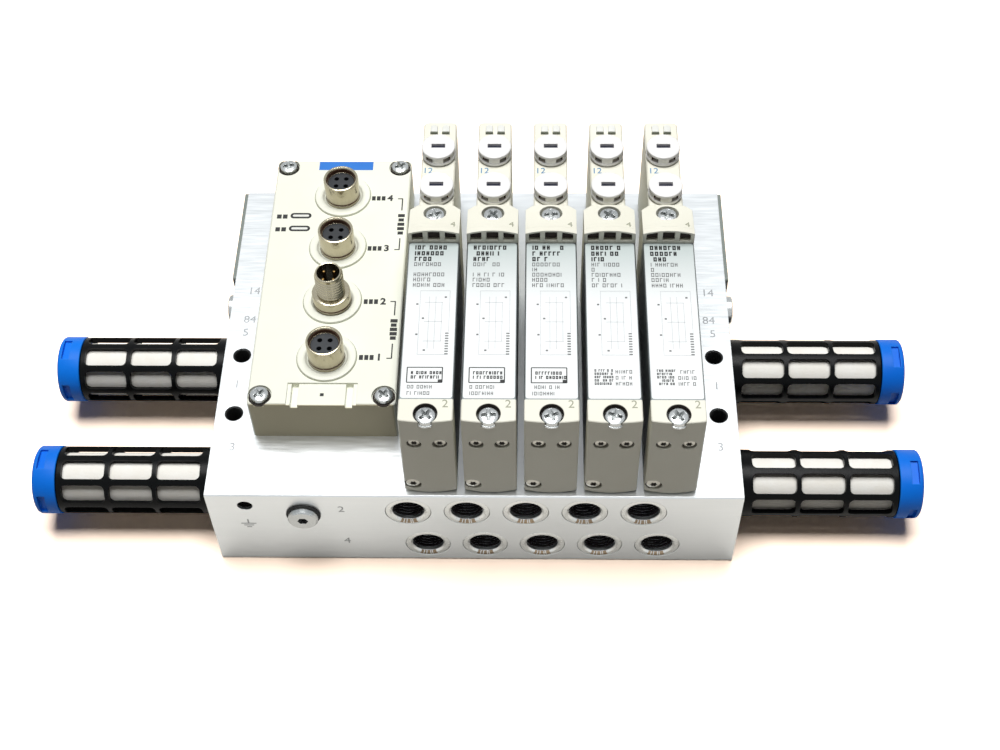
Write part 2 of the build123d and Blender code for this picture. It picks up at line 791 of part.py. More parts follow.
# Contact carriers: a socket face with four holes, and the plug's carrier with its four pins
with BuildPart() as socket_insert:
    with BuildSketch(Plane.XY.offset(-shell_sink)):
        Circle(shell_seat_radius - insert_fit)
    extrude(amount=shell_sink + shell_height - insert_drop)
    with Locations((0, 0, shell_height - insert_drop)):
        with PolarLocations(contact_ring, 4, start_angle=45):
            Hole(contact_radius, contact_depth)

with BuildPart() as plug_insert:
    with BuildSketch(Plane.XY.offset(-shell_sink)):
        Circle(plug_bore_radius - insert_fit)
    extrude(amount=shell_sink + plug_floor)
    with BuildSketch(Plane.XY.offset(plug_floor)):
        with PolarLocations(contact_ring, 4, start_angle=45):
            Circle(pin_radius)
    extrude(amount=plug_height - pin_top_drop - plug_floor)

with BuildPart() as contact_inserts:
    for place, y in enumerate(socket_y):
        with Locations((socket_x, y, interface_top)):
            add(plug_insert.part if place == plug_place else socket_insert.part)
save(contact_inserts.part, "contact_inserts")

# Silencer cage, built along +X from the rail's end face
window_start = cage_collar + window_length / 2
window_turns = [radians(360 / window_rows * row) for row in range(window_rows)]
window_planes = [
    Plane(
        origin=(window_start + column * (window_length + window_web), 0, 0),
        x_dir=(1, 0, 0),
        z_dir=(0, -cos(turn), sin(turn)),
    ).offset(cage_bore_radius - cage_wall)
    for turn in window_turns
    for column in range(window_columns)
]
window_width = 2 * cage_radius * sin(radians(window_angle / 2))
with BuildPart() as silencer_cage:
    with BuildSketch(Plane.YZ):
        Circle(cage_radius)
    extrude(amount=cage_length)
    chamfer(silencer_cage.edges().filter_by(GeomType.CIRCLE), cage_edge)
    with BuildSketch(Plane.YZ.offset(cage_floor)):
        Circle(cage_bore_radius)
    extrude(amount=cage_length, mode=Mode.SUBTRACT)
    with BuildSketch(Plane.YZ):
        Circle(end_port_radius - thread_fit)
    extrude(amount=-stub_length)
    with BuildSketch(Plane.YZ.offset(-stub_length)):
        Circle(stub_bore_radius)
    extrude(amount=stub_length + cage_floor, mode=Mode.SUBTRACT)
    with BuildSketch(*window_planes):
        RectangleRounded(window_length, window_width, window_radius)
    extrude(amount=3 * cage_wall, mode=Mode.SUBTRACT)

# Porous insert, a cup whose open end faces the rail
filter_radius = cage_bore_radius - filter_fit
with BuildPart() as silencer_filter:
    with BuildSketch(Plane.YZ.offset(cage_floor)):
        Circle(filter_radius)
    extrude(amount=cage_length - spigot_length - cage_floor)
    with BuildSketch(Plane.YZ.offset(cage_floor)):
        Circle(filter_radius - filter_wall)
    extrude(amount=cage_length - spigot_length - cage_floor - filter_wall, mode=Mode.SUBTRACT)

# Blue end cap: a spigot in the cage, a domed face and four spanner notches in the rim
cap_end = cage_length + end_cap_length
with BuildPart() as silencer_cap:
    with BuildSketch(Plane.XY):
        with BuildLine():
            Polyline(
                (cap_end - end_cap_dome - end_cap_rim, end_cap_radius),
                (cage_length, end_cap_radius),
                (cage_length, cage_bore_radius - spigot_fit),
                (cage_length - spigot_length, cage_bore_radius - spigot_fit),
                (cage_length - spigot_length, 0),
                (cap_end, 0),
            )
            dome = ThreePointArc(
                (cap_end, 0),
                (cap_end - end_cap_dome / 4, (end_cap_radius - end_cap_rim) / 2),
                (cap_end - end_cap_dome, end_cap_radius - end_cap_rim),
            )
            Line(dome @ 1, (cap_end - end_cap_dome - end_cap_rim, end_cap_radius))
        make_face()
    revolve(axis=Axis.X)
    for notch in range(notch_count):
        angle = 360 / notch_count * notch
        with Locations(
            Plane(
                origin=(cap_end - notch_inset - notch_width / 2, 0, 0),
                x_dir=(1, 0, 0),
                z_dir=(0, -cos(radians(angle)), sin(radians(angle))),
            )
        ):
            with Locations((0, 0, end_cap_radius)):
                Box(notch_width, notch_length, 2 * notch_depth, mode=Mode.SUBTRACT)

with BuildPart() as silencer_filters:
    for y in (exhaust_3_y, exhaust_5_y):
        with Locations((end_x, y, main_z), Location((-end_x, y, main_z), (0, 0, 180))):
            add(silencer_filter.part)
save(silencer_filters.part, "silencer_filters")

for end, y in ((3, exhaust_3_y), (5, exhaust_5_y)):
    for side in ("left", "right"):
        place = f"{end}_{side}"
        for piece, name, turns in (
            (silencer_cage, "silencer_cage", cage_turns),
            (silencer_cap, "silencer_cap", cap_turns),
        ):
            placed = piece.part.rotate(Axis.X, -turns[place]).moved(Location((end_x, y, main_z)))
            save(placed if side == "right" else placed.mirror(Plane.YZ), f"{name}_{place}")
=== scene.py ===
import json
import random
from math import cos, pi, radians, sin

import bmesh
import bpy
from mathutils import Matrix, Vector


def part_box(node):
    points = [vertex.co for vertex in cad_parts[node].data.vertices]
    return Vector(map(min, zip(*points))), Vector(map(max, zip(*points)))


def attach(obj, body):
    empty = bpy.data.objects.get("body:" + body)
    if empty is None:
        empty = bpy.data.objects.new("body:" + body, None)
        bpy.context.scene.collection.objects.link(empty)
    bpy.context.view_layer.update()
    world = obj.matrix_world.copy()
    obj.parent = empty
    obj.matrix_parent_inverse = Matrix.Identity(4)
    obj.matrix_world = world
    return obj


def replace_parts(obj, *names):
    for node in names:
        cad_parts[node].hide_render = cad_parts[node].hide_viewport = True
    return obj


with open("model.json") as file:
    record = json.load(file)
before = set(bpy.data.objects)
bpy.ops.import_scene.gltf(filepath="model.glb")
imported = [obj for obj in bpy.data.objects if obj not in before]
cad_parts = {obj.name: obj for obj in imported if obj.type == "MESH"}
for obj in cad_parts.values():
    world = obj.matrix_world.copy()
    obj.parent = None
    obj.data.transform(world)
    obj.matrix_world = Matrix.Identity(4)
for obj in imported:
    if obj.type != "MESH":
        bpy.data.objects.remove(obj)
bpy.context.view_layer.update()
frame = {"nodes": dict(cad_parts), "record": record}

# Shapes are drawn in millimetres, in the frame of the CAD model
mm = 0.001


def corners(node):
    """The low and high corners of a node's box, in millimetres."""
    return [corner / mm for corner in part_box(node)]


rail_low, rail_high = corners("manifold_rail")
front_y = rail_low.y
rail_top = rail_high.z
end_x = rail_high.x
valve_numbers = (1, 2, 3, 4, 5)
valve_x = []
for number in valve_numbers:
    low, high = corners(f"valve_body_{number}")
    valve_x.append((low.x + high.x) / 2)
valve_top = high.z
hood_front = corners("rear_cover_1")[0].y
interface_low, interface_high = corners("interface_housing")
ring_height = 0.6
interface_top = interface_high.z - ring_height
interface_x = (interface_low.x + interface_high.x) / 2
interface_y = (interface_low.y + interface_high.y) / 2
interface_front = interface_low.y


# Shapes

def line_through(shape, section, closed):
    """Points and edges through (radius, height) pairs, ready to be spun about Z."""
    points = [shape.verts.new((radius, 0, height)) for radius, height in section]
    pairs = list(zip(points, points[1:]))
    if closed:
        pairs.append((points[-1], points[0]))
    return points + [shape.edges.new(pair) for pair in pairs]


def closed_up(shape):
    """The shape with its open ends filled and its faces turned outwards."""
    bmesh.ops.holes_fill(shape, edges=[edge for edge in shape.edges if edge.is_boundary])
    bmesh.ops.recalc_face_normals(shape, faces=shape.faces)
    return shape


def spun(profile, steps, closed=False):
    """A turned shape about Z from (radius, height) points."""
    shape = bmesh.new()
    bmesh.ops.spin(
        shape, geom=line_through(shape, profile, closed), cent=(0, 0, 0), axis=(0, 0, 1), dvec=(0, 0, 0),
        angle=2 * pi, steps=steps, use_merge=True,
    )
    bmesh.ops.remove_doubles(shape, verts=shape.verts, dist=0.0001)
    bmesh.ops.recalc_face_normals(shape, faces=shape.faces)
    return shape


def ring(inner, outer, low, high, steps):
    """A flat-sided ring about Z."""
    return spun(((inner, low), (outer, low), (outer, high), (inner, high)), steps, closed=True)


def disc(radius, low, high, steps):
    """A plain disc about Z."""
    return spun(((0, low), (radius, low), (radius, high), (0, high)), steps)


def swept(section, angle, steps, drop=0.0):
    """A closed section swept about Z by an angle, lower by the drop at each step."""
    shape = bmesh.new()
    bmesh.ops.spin(
        shape, geom=line_through(shape, section, True), cent=(0, 0, 0), axis=(0, 0, 1), dvec=(0, 0, -drop),
        angle=angle, steps=steps,
    )
    return closed_up(shape)


def thread(root, crest, pitch, turns, steps):
    """A helical ridge that runs down from zero, its foot on a wall of the root's radius."""
    ridge = ((root, -0.45), (crest, -0.1), (crest, 0.1), (root, 0.45))
    section = [(radius, (share - 0.5) * pitch) for radius, share in ridge]
    return swept(section, 2 * pi * turns, steps * turns, pitch / steps)


def soften(shape, edges, radius, segments):
    """Rounds some of a shape's edges."""
    bmesh.ops.bevel(
        shape, geom=edges, offset=radius, offset_type="OFFSET", segments=segments, profile=0.5,
        affect="EDGES", material=-1, clamp_overlap=True,
    )


def fall_of(edge):
    """How far an edge runs up or down."""
    return abs((edge.verts[0].co - edge.verts[1].co).z)


def block(size, centre=(0, 0, 0), corner=0.0, segments=4):
    """A rectangular block, its upright edges rounded to the corner's radius."""
    shape = bmesh.new()
    bmesh.ops.create_cube(shape, size=1, matrix=Matrix.Diagonal((*size, 1)))
    if corner:
        soften(shape, [edge for edge in shape.edges if fall_of(edge) > size[2] / 2], corner, segments)
    bmesh.ops.translate(shape, vec=centre, verts=shape.verts)
    return shape


def cone(low_radius, high_radius, depth, place, segments):
    """A cone or a cylinder, its middle at a place."""
    shape = bmesh.new()
    bmesh.ops.create_cone(
        shape, cap_ends=True, segments=segments, radius1=low_radius, radius2=high_radius, depth=depth,
        matrix=place,
    )
    return shape


def at(x, y, z):
    """The place at a point."""
    return Matrix.Translation((x, y, z))


facing_front = Matrix.Rotation(pi / 2, 4, "X")
facing_end = {1: Matrix.Rotation(pi / 2, 4, "Y"), -1: Matrix.Rotation(-pi / 2, 4, "Y")}


def placed(shape, place):
    """The shape moved to a place."""
    bmesh.ops.transform(shape, matrix=place, verts=shape.verts)
    return shape


def turned(shape, angle):
    """The shape turned about Z."""
    bmesh.ops.rotate(shape, cent=(0, 0, 0), matrix=Matrix.Rotation(angle, 3, "Z"), verts=shape.verts)
    return shape


def as_mesh(shape, name="stand_in"):
    """The shape as a mesh."""
    mesh = bpy.data.meshes.new(name)
    shape.to_mesh(mesh)
    shape.free()
    return mesh


def in_scene(name, data):
    """A new object in the scene."""
    thing = bpy.data.objects.new(name, data)
    bpy.context.scene.collection.objects.link(thing)
    return thing


def joined(shapes):
    """Several shapes as one."""
    together = bmesh.new()
    for shape in shapes:
        mesh = as_mesh(shape)
        together.from_mesh(mesh)
        bpy.data.meshes.remove(mesh)
    return together


def copies(shape, places):
    """Copies of one shape, each at its own place."""
    mesh = as_mesh(shape)
    together = bmesh.new()
    for place in places:
        before = len(together.verts)
        together.from_mesh(mesh)
        together.verts.ensure_lookup_table()
        bmesh.ops.transform(together, matrix=place, verts=together.verts[before:])
    bpy.data.meshes.remove(mesh)
    return together


def cut(blank, tool):
    """The blank with the tool's shape taken out of it."""
    kept, taken = in_scene("blank", as_mesh(blank, "blank")), in_scene("tool", as_mesh(tool, "tool"))
    step = kept.modifiers.new("cut", "BOOLEAN")
    step.operation = "DIFFERENCE"
    step.solver = "EXACT"
    step.object = taken
    bpy.context.view_layer.update()
    evaluated = kept.evaluated_get(bpy.context.evaluated_depsgraph_get())
    result = bmesh.new()
    result.from_mesh(evaluated.to_mesh())
    evaluated.to_mesh_clear()
    for piece in (kept, taken):
        bpy.data.meshes.remove(piece.data)
    return result


def lettering(words, height, place, thickness=0.04, weight=0.0):
    """Plain characters as thin solids, standing on the place's own plane."""
    capital_share = 0.7
    curve = bpy.data.curves.new("lettering", "FONT")
    curve.body = words
    curve.size = height / capital_share
    curve.extrude = thickness / 2
    curve.offset = weight
    curve.resolution_u = 3
    curve.align_x = "CENTER"
    curve.align_y = "CENTER"
    text = bpy.data.objects.new("lettering", curve)
    mesh = bpy.data.meshes.new_from_object(text)
    shape = bmesh.new()
    shape.from_mesh(mesh)
    bmesh.ops.remove_doubles(shape, verts=shape.verts, dist=0.0005)
    bpy.data.meshes.remove(mesh)
    bpy.data.objects.remove(text)
    bpy.data.curves.remove(curve)
    return placed(shape, place @ at(0, 0, thickness / 2))


def finish(shape, name, material, body="island", sharp=35):
    """The shape becomes a piece in metres that rides on a body."""
    bmesh.ops.scale(shape, vec=(mm, mm, mm), verts=shape.verts)
    mesh = as_mesh(shape, name)
    mesh.polygons.foreach_set("use_smooth", [True] * len(mesh.polygons))
    mesh.set_sharp_from_angle(angle=radians(sharp))
    mesh.materials.append(material)
    piece = in_scene(name, mesh)
    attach(piece, body)
    return piece


# Finishes

def tone(red, green, blue):
    """A display colour of 0 to 255 as the shader's own numbers."""
    return (*(((c / 255 + 0.055) / 1.055) ** 2.4 if c > 10 else c / 3294.6 for c in (red, green, blue)), 1.0)


def add_node(tree, kind, inputs, **settings):
    """A new node with its settings, each input linked to a socket or given its own number."""
    node = tree.nodes.new(kind)
    for name, value in settings.items():
        setattr(node, name, value)
    for socket, value in inputs.items():
        if isinstance(value, bpy.types.NodeSocket):
            tree.links.new(value, node.inputs[socket])
        else:
            node.inputs[socket].default_value = value
    return node


def worked_out(tree, operation, *values):
    """The result of one operation on sockets and numbers."""
    return add_node(tree, "ShaderNodeMath", dict(enumerate(values)), operation=operation).outputs["Value"]


def ranged(tree, value, start, end, low=0.0, high=1.0):
    """A value taken from the range between start and end to the one between low and high."""
    inputs = {"Value": value, "From Min": start, "From Max": end, "To Min": low, "To Max": high}
    return add_node(tree, "ShaderNodeMapRange", inputs).outputs["Result"]


def mixed(tree, factor, first, second, blend="MIX"):
    """A colour between two others."""
    inputs = {"Factor": factor, "A": first, "B": second}
    return add_node(tree, "ShaderNodeMix", inputs, data_type="RGBA", blend_type=blend).outputs["Result"]


def coat(
    name, dark, light, roughness, metallic=0.0, grain=2500.0, stretch=(1, 1, 1), relief=0.02,
    spread=0.05, edge=0.15, wear=None, cloud=45.0, painted_darkening=None, gleam=0.5,
):
    """A finish with clouded colour, grained gloss and relief, softened edges, and a painted highlight
    lightening the colour along them.

    Colours are display colours. Relief and edge are in millimetres. The painted darkening, when given, is
    where along the depth it starts and ends, in millimetres, and the colour it darkens to: shade painted into
    the colour.
    """
    material = bpy.data.materials.new(name)
    material.use_nodes = True
    tree = material.node_tree
    shader = tree.nodes["Principled BSDF"]
    shader.inputs["Metallic"].default_value = metallic
    shader.inputs["Specular IOR Level"].default_value = gleam

    place = add_node(tree, "ShaderNodeTexCoord", {}).outputs["Object"]
    stretched = add_node(tree, "ShaderNodeMapping", {"Vector": place, "Scale": stretch}).outputs["Vector"]
    fine, broad = (
        add_node(
            tree, "ShaderNodeTexNoise", {"Vector": stretched, "Scale": scale, "Detail": detail}
        ).outputs["Fac"]
        for scale, detail in ((grain, 4), (cloud, 5))
    )
    share = ranged(tree, worked_out(tree, "MULTIPLY_ADD", fine, 0.4, broad), 0.45, 0.95)
    colour = mixed(tree, share, tone(*dark), tone(*light))
    gloss = ranged(tree, fine, 0.3, 0.7, roughness - spread, roughness + spread)
    tree.links.new(gloss, shader.inputs["Roughness"])

    soft = add_node(tree, "ShaderNodeBevel", {"Radius": edge * mm}, samples=4).outputs["Normal"]
    raised = add_node(
        tree, "ShaderNodeBump", {"Strength": 1.0, "Distance": relief * mm, "Height": fine, "Normal": soft}
    )
    tree.links.new(raised.outputs["Normal"], shader.inputs["Normal"])

    # Painted highlight: the colour lightens along every edge, where the bevelled normal turns away from the
    # face's own
    if wear:
        surface = add_node(tree, "ShaderNodeNewGeometry", {}).outputs["Normal"]
        turn = add_node(tree, "ShaderNodeVectorMath", {0: soft, 1: surface}, operation="DOT_PRODUCT")
        colour = mixed(tree, ranged(tree, turn.outputs["Value"], 0.99, 0.85, high=0.7), colour, tone(*wear))
    # Painted shade: the colour darkens along the object's depth
    if painted_darkening:
        start, end, shaded = painted_darkening
        depth = add_node(tree, "ShaderNodeSeparateXYZ", {"Vector": place}).outputs["Y"]
        darkening_share = ranged(tree, depth, start * mm, end * mm)
        colour = mixed(tree, darkening_share, colour, tone(*shaded), "MULTIPLY")
    tree.links.new(colour, shader.inputs["Base Color"])
    return material


def metal(name, dark, light, roughness, **rest):
    """A finish that is metal all through."""
    return coat(name, dark, light, roughness, metallic=1.0, **rest)


def ink(name, dark, light):
    """A flat, even finish for print."""
    return coat(name, dark, light, 0.6, grain=5200, relief=0.003, edge=0.02)


rail_metal = metal(
    "drawn aluminium", (218, 221, 222), (228, 230, 231), 0.34, grain=1800, stretch=(0.06, 1, 1),
    relief=0.004, edge=0.25, wear=(248, 248, 247), cloud=60,
)
# Painted shade: the threads are near-black so the bores' insides look dark
shaded_thread_metal = metal("cut thread, painted shade", (8, 8, 9), (24, 22, 22), 0.32, grain=1500, relief=0.008, edge=0.06)
# Painted reflection: a warm bronze-gold for light on the lower chamfer of each work port
chamfer_reflection_metal = metal(
    "painted chamfer reflection", (110, 92, 74), (170, 148, 122), 0.3, grain=1500, relief=0.008, edge=0.03
)
seat_metal = metal(
    "faced aluminium", (210, 211, 208), (228, 229, 227), 0.3, grain=1500, relief=0.006, edge=0.05
)
steel = metal("plated steel", (176, 178, 178), (204, 206, 205), 0.24, grain=2400, relief=0.012, edge=0.1)
dull_steel = metal(
    "darkened steel", (160, 158, 150), (190, 188, 180), 0.3, grain=2400, relief=0.012, edge=0.1
)
nickel = metal(
    "nickel plating", (164, 156, 134), (190, 182, 160), 0.2, grain=1600, stretch=(1, 1, 0.2), relief=0.006
)
brass = metal("gilt contacts", (100, 76, 42), (134, 106, 64), 0.3, relief=0.004, edge=0.08)
# Painted shade: a dark brown for knob pockets, connector grooves and walls in shadow
painted_brown_shade = coat(
    "painted brown shade", (70, 44, 28), (104, 70, 46), 0.4, metallic=0.4, grain=1800, relief=0.008, edge=0.04
)
valve_metal = coat(
    "grey aluminium", (112, 118, 118), (134, 140, 140), 0.42, metallic=0.9, grain=1800,
    stretch=(1, 0.08, 1), relief=0.01, spread=0.08, wear=(200, 204, 206),
)
engraved = coat(
    "engraved mark", (146, 148, 150), (172, 174, 176), 0.5, metallic=0.6, grain=3000, relief=0.01
)
ivory = coat(
    "ivory plastic", (236, 234, 218), (243, 242, 228), 0.46, grain=5200, relief=0.012, edge=0.22,
    wear=(246, 246, 236),
)
# The housing's front face is darker by painted shade, through the painted darkening near the front
cream = coat(
    "cream plastic", (238, 239, 224), (244, 246, 232), 0.5, grain=4200, edge=0.28, wear=(247, 248, 238),
    painted_darkening=(interface_front + 0.3, interface_front + 0.1, (206, 195, 171)),
)
white = coat(
    "white plastic", (240, 240, 238), (247, 247, 246), 0.38, grain=5200, relief=0.006, wear=(250, 250, 250)
)
navy = coat("navy plastic", (6, 11, 42), (13, 20, 60), 0.36, grain=4000, relief=0.006, edge=0.1)
black = coat(
    "black plastic", (2, 3, 4), (6, 7, 8), 0.3, grain=3200, relief=0.012, edge=0.3, wear=(20, 21, 23),
    gleam=0.1,
)
blue = coat(
    "blue plastic", (0, 108, 222), (2, 124, 240), 0.46, grain=4200, relief=0.01, edge=0.25,
    wear=(40, 150, 246), gleam=0.25,
)
slate = coat("slate plastic", (10, 14, 19), (20, 26, 33), 0.5, grain=3600, relief=0.01, edge=0.08)
frosted = coat("frosted light pipe", (226, 228, 222), (240, 241, 236), 0.35, grain=3600, relief=0.01)
porous = coat("porous white", (248, 244, 234), (255, 254, 248), 0.9, grain=2600, relief=0.12, cloud=220)
rubber = coat("black rubber", (22, 22, 22), (32, 32, 32), 0.75, grain=3000)
plate = coat(
    "grey plate", (112, 120, 115), (132, 140, 135), 0.5, grain=2600, relief=0.03, wear=(150, 152, 150)
)
# Painted shade: the dark olive of the lamp lenses' shaded fronts
lamp_shade_olive = coat("painted olive lamp shade", (70, 76, 60), (96, 100, 84), 0.4, grain=3000, relief=0.006, edge=0.06)
# Painted shade: a dark finish put where bores, recesses and vents are only in shade
painted_shade_coat = coat("painted shade inside", (28, 20, 14), (40, 30, 22), 0.8)
# The labels darken towards their back ends by a painted reflection, through the painted darkening along the
# depth
paper = coat(
    "label film", (238, 242, 242), (245, 247, 247), 0.42, grain=2200, relief=0.004, edge=0.02,
    painted_darkening=(front_y + 40, front_y + 62, (196, 206, 204)),
)
ink_black = ink("black print", (9, 9, 10), (20, 20, 21))
ink_grey = ink("grey print", (96, 97, 98), (132, 133, 134))
ink_pale = ink("pale print", (190, 195, 198), (214, 218, 220))
ink_blue = ink("blue print", (24, 104, 196), (40, 124, 214))
ink_sky = ink("light blue print", (56, 118, 166), (88, 148, 190))
ink_olive = ink("olive grey mark", (148, 150, 128), (168, 170, 150))

finish_of = {
    "rail_metal": rail_metal, "valve_metal": valve_metal, "cover_plastic": ivory, "housing_plastic": cream,
    "cap_white": white, "stem_blue": navy, "cage_black": black, "porous_white": porous,
    "end_cap_blue": blue, "screw_steel": steel, "shell_nickel": nickel, "carrier_slate": slate,
    "light_pipe": frosted, "seal_rubber": rubber, "plate_black": plate,
}
for part in frame["record"]["subparts"]:
    mesh = frame["nodes"][part["node"]].data
    mesh.materials.clear()
    mesh.materials.append(finish_of[part["material_slot"]])


# Screws

def screw(radius, height, crown, shank, length):
    """A round-topped head standing on zero, over a plain shank."""
    rise = crown / 2
    return spun(
        (
            (0, height + 0.12), (radius * 0.5, height + 0.07), (radius - crown, height - 0.02),
            (radius - 0.3 * rise, height - rise), (radius, height - crown), (radius, 0), (shank, 0),
            (shank, -length), (0, -length),
        ),
        40,
    )


def cross_screw(radius, length, span, width, depth):
    """A screw whose head has two tapered slots and a cone, the shape that a cross driver leaves."""
    height = 1.9
    top = height + 0.3
    head = screw(radius, height, 0.6, 1.5, length)
    for turn in (0, pi / 2):
        bar = block((span, width, depth), (0, 0, top - depth / 2))
        for point in bar.verts:
            if point.co.z < top - depth / 2:
                point.co.x *= 0.35
                point.co.y *= 0.6
        head = cut(head, turned(bar, turn))
    cone_depth = depth * 1.15
    return cut(head, cone(0.3, width * 0.95, cone_depth, at(0, 0, top - cone_depth / 2), 16))


def star_screw(radius, star_radius, length):
    """A small screw with a six-lobed blind hole for a star driver."""
    top, depth = 1.1, 0.8
    star = cone(1, 1, depth, at(0, 0, top - depth / 2), 36)
    for point in star.verts:
        lobe = cos(6 * Vector((point.co.x, point.co.y)).angle_signed(Vector((1, 0)), 0))
        point.co.x *= star_radius * (0.86 + 0.14 * lobe)
        point.co.y *= star_radius * (0.86 + 0.14 * lobe)
    return cut(screw(radius, 0.9, 0.3, 0.9, length), star)


front_screw_y = front_y + 3.95
rear_screw_y = front_y + 69.4
front_seat = valve_top - 2.3
rear_seat = valve_top + 0.6
rail_reach = 5.0

washer = spun(((1.6, 0.0), (3.02, 0.0), (3.04, 0.1), (3.04, 0.4), (2.94, 0.5), (1.6, 0.5)), 48, closed=True)
valve_screw = joined([cross_screw(2.75, front_seat - rail_top + rail_reach, 4.3, 1.05, 1.7), washer])
places = []
for y, seat, turns in (
    (front_screw_y, front_seat, (0.8, 0.05, 0.3, 1.2, 0.55)),
    (rear_screw_y, rear_seat, (0.35, 0.75, 0.1, 0.95, 1.3)),
):
    places += [at(x, y, seat) @ Matrix.Rotation(turn, 4, "Z") for x, turn in zip(valve_x, turns)]
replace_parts(finish(copies(valve_screw, places), "cross_recess_screws", steel), "valve_screws")

# Painted shade: dark rings in the front screws' bores round the head stand in for the bores' shadow, and are
# open at the cover's face
bore_shade_ring = ring(3.05, 3.13, 0.55, 2.1, 48)
bmesh.ops.bisect_plane(
    bore_shade_ring, geom=bore_shade_ring.verts[:] + bore_shade_ring.edges[:] + bore_shade_ring.faces[:],
    plane_co=(0, -1.7, 0), plane_no=(0, -1, 0), clear_outer=True,
)
bore_shade_rings = copies(closed_up(bore_shade_ring), [at(x, front_screw_y, front_seat) for x in valve_x])

# Screws on the interface's four corner pads
pad_x = 20.1 - 3.3
pad_y = 45.25 - 3.0
pad_z = interface_top - 1.0
pads = [
    at(interface_x + side * pad_x, interface_y + end * pad_y, pad_z) for end in (-1, 1) for side in (-1, 1)
]
interface_screw = cross_screw(2.5, pad_z - rail_top + rail_reach, 3.8, 0.95, 1.6)
places = [pad @ Matrix.Rotation(turn, 4, "Z") for pad, turn in zip(pads, (0.7, 0.9, 0.2, 0.5))]
interface_screws = finish(copies(interface_screw, places), "interface_cross_screws", steel)
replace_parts(interface_screws, "interface_screws")
# Painted shade: dark rings round the interface screws' heads on their pads
pad_shade_rings = copies(ring(2.56, 3.05, 0.01, 0.3, 48), pads)
finish(joined([bore_shade_rings, pad_shade_rings]), "painted_shade_screw_rings", painted_shade_coat)

# Small screws: three in each front cover, two in each end plate
cover_seat_y = front_y + 1.87 + 0.9
upper_places = [
    at(x + side * 3.3, cover_seat_y, rail_top + 23.0) @ facing_front for x in valve_x for side in (-1, 1)
]
low_places = [at(x - 4.6, cover_seat_y, rail_top + 3.9) @ facing_front for x in valve_x]
plate_front, plate_back = front_y + 76.0, rail_high.y - 0.5
plate_y = (plate_front + plate_back) / 2
plate_screw_y = (plate_back - plate_front) / 2 - 2.2
plate_places = [
    at(side * (end_x + 1.0), plate_y + end * plate_screw_y, 17.0) @ facing_end[side]
    for side in (-1, 1) for end in (-1, 1)
]
cover_screw_length, plate_screw_length = 9.63, 5.0
star_screws = joined([
    copies(star_screw(1.65, 0.9, cover_screw_length), upper_places),
    copies(star_screw(2.0, 1.0, cover_screw_length), low_places),
    copies(star_screw(1.65, 0.9, plate_screw_length), plate_places),
])
# Painted shade: dark rings round the small screws' heads and dark discs in their star recesses
bore_shade_marks = []
for radius, bore, star, ring_places in ((1.65, 1.95, 0.72, upper_places), (2.0, 2.25, 0.8, low_places)):
    bore_shade_marks.append(copies(ring(radius + 0.02, bore - 0.02, 0.02, 0.5, 40), ring_places))
    bore_shade_marks.append(copies(disc(star, 0.28, 0.62, 24), ring_places))
finish(joined(bore_shade_marks), "painted_shade_screw_bores", painted_shade_coat)
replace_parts(finish(star_screws, "star_recess_screws", dull_steel), "cover_screws")

# Manual overrides: a disc over a waist with grip pockets, a foot flange and a driver slot
cap_height = 3.6
cap_blank = spun(
    (
        (0, 2.6), (2.65, 2.6), (2.65, 0), (4.65, 0), (4.8, 0.12), (4.8, 0.85), (4.6, 1.0), (4.6, 2.55),
        (4.8, 2.7), (4.8, 3.2), (4.72, 3.42), (4.5, 3.57), (4.35, cap_height), (0, cap_height),
    ),
    64,
)
cap_tools = [block((3.9, 1.5, 3.0), (0, 0, cap_height))]
for facing in (0, pi):
    for turn in (-33.5, 33.5):
        pocket = block((2.2, 2.8, 1.5), (0, -4.8, 1.78), corner=0.3, segments=2)
        cap_tools.append(turned(pocket, facing + radians(turn)))
cap_shape = cut(cap_blank, joined(cap_tools))
# The pockets' own faces take the knob's second finish, a painted brown shade for the dark inside the pockets
for face in cap_shape.faces:
    middle = face.calc_center_median()
    if 3.0 < Vector((middle.x, middle.y)).length < 4.45 and 1.1 < middle.z < 2.45:
        face.material_index = 1
for number in valve_numbers:
    for coil in (14, 12):
        low, high = corners(f"override_cap_{coil}_{number}")
        cap = placed(cap_shape.copy(), at((low.x + high.x) / 2, (low.y + high.y) / 2, low.z))
        knob = finish(cap, f"override_knob_{coil}_{number}", white, body=f"cap_{coil}_{number}")
        knob.data.materials.append(painted_brown_shade)
        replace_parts(knob, f"override_cap_{coil}_{number}")
cap_shape.free()

# Silencers: a windowed cage, a porous insert and a notched end cap, drawn standing on the rail's end
cage_radius = 9.44
cage_bore = 7.84
cage_length = 44.9
cage_blank = spun(
    (
        (3.6, -11), (5.75, -11), (5.75, 0), (9.04, 0), (cage_radius, 0.4), (cage_radius, cage_length - 0.4),
        (9.04, cage_length), (cage_bore, cage_length), (cage_bore, 1.9), (3.6, 1.9),
    ),
    96, closed=True,
)
window_length, window_web, window_width = 12.183, 1.2, 5.52
lying = Matrix.Rotation(pi / 2, 4, "Y") @ Matrix.Rotation(pi / 2, 4, "Z")
window_tools = []
for row in range(8):
    for column in range(3):
        middle = 4.35 + window_length / 2 + column * (window_length + window_web)
        place = Matrix.Rotation(radians(-45 * row), 4, "Z") @ at(cage_radius, 0, middle)
        window = block((window_width, window_length, 5.0), corner=1.4, segments=6)
        window_tools.append(placed(window, place @ lying))
cage_pattern = cut(cage_blank, joined(window_tools))

